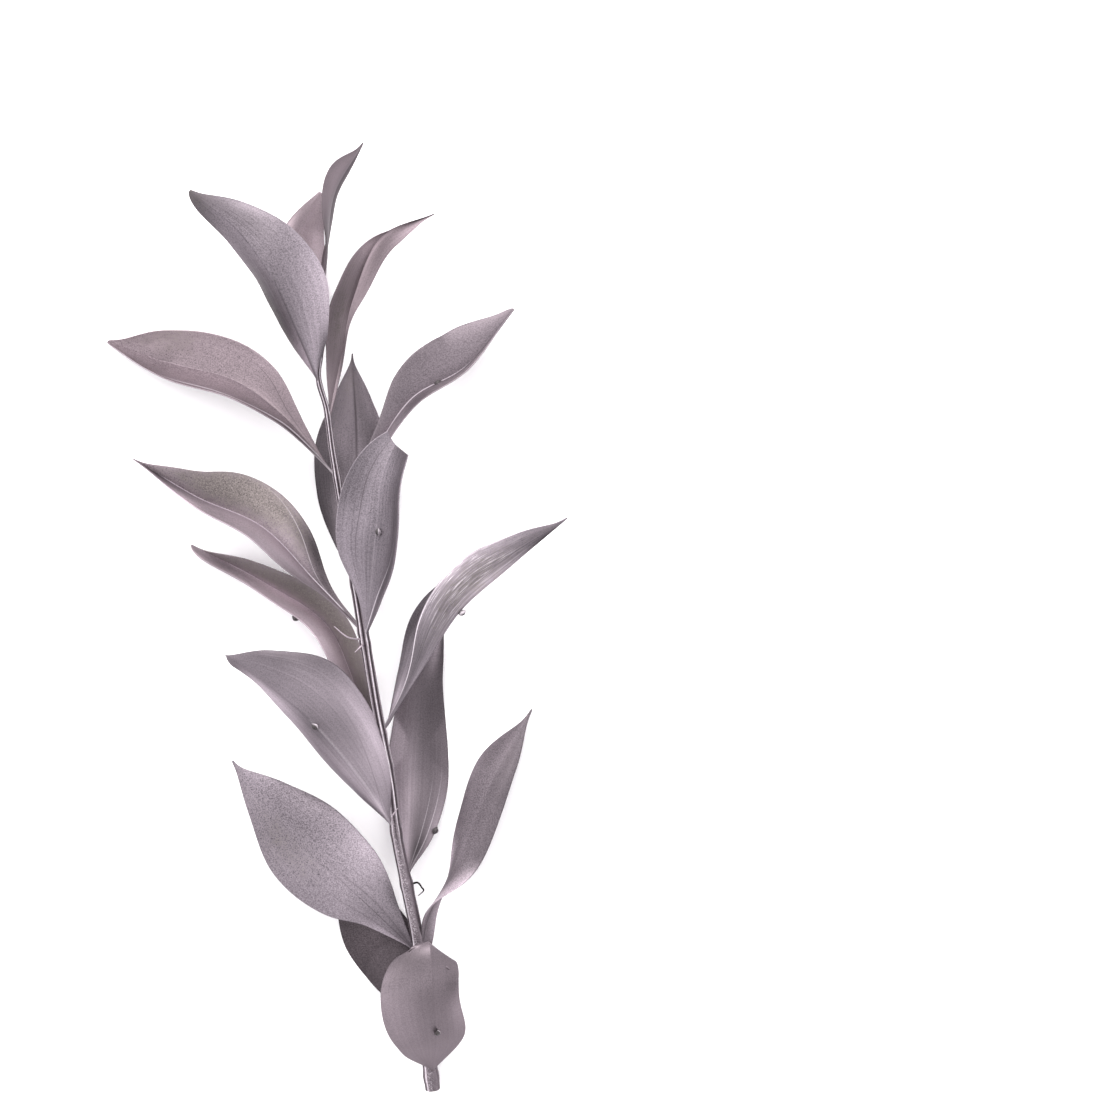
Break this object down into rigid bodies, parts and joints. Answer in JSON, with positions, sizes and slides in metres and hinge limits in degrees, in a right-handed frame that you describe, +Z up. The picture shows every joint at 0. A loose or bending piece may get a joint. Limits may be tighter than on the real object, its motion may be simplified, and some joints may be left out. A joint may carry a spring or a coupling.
{
  "type": "dried ruscus stem",
  "caption": "Dried ruscus stem lying on its side: a slender ribbed stem with stiff pointed leaf-like blades growing from its nodes, in satin metallic lavender",
  "frame": {"origin": "on the surface the stem lies on, under the middle of the whole part's bounding box", "axes": "+Y towards the stem's growing end, +X to the right of it seen from above, +Z up from the surface"},
  "size_m": [0.1751, 0.3578, 0.0493],
  "materials": {
    "blade": "dried leaf under a satin metallic lavender coat",
    "stem": "dried stem under a satin metallic lavender coat"
  },
  "bodies": {
    "root": {"stem": "stem", "blade_01": "blade", "blade_02": "blade", "blade_03": "blade", "blade_04": "blade", "blade_05": "blade", "blade_06": "blade", "blade_07": "blade", "blade_08": "blade", "blade_09": "blade", "blade_10": "blade", "blade_11": "blade", "blade_12": "blade", "blade_13": "blade", "blade_14": "blade", "blade_15": "blade", "blade_16": "blade", "blade_17": "blade"}
  },
  "joints": []
}
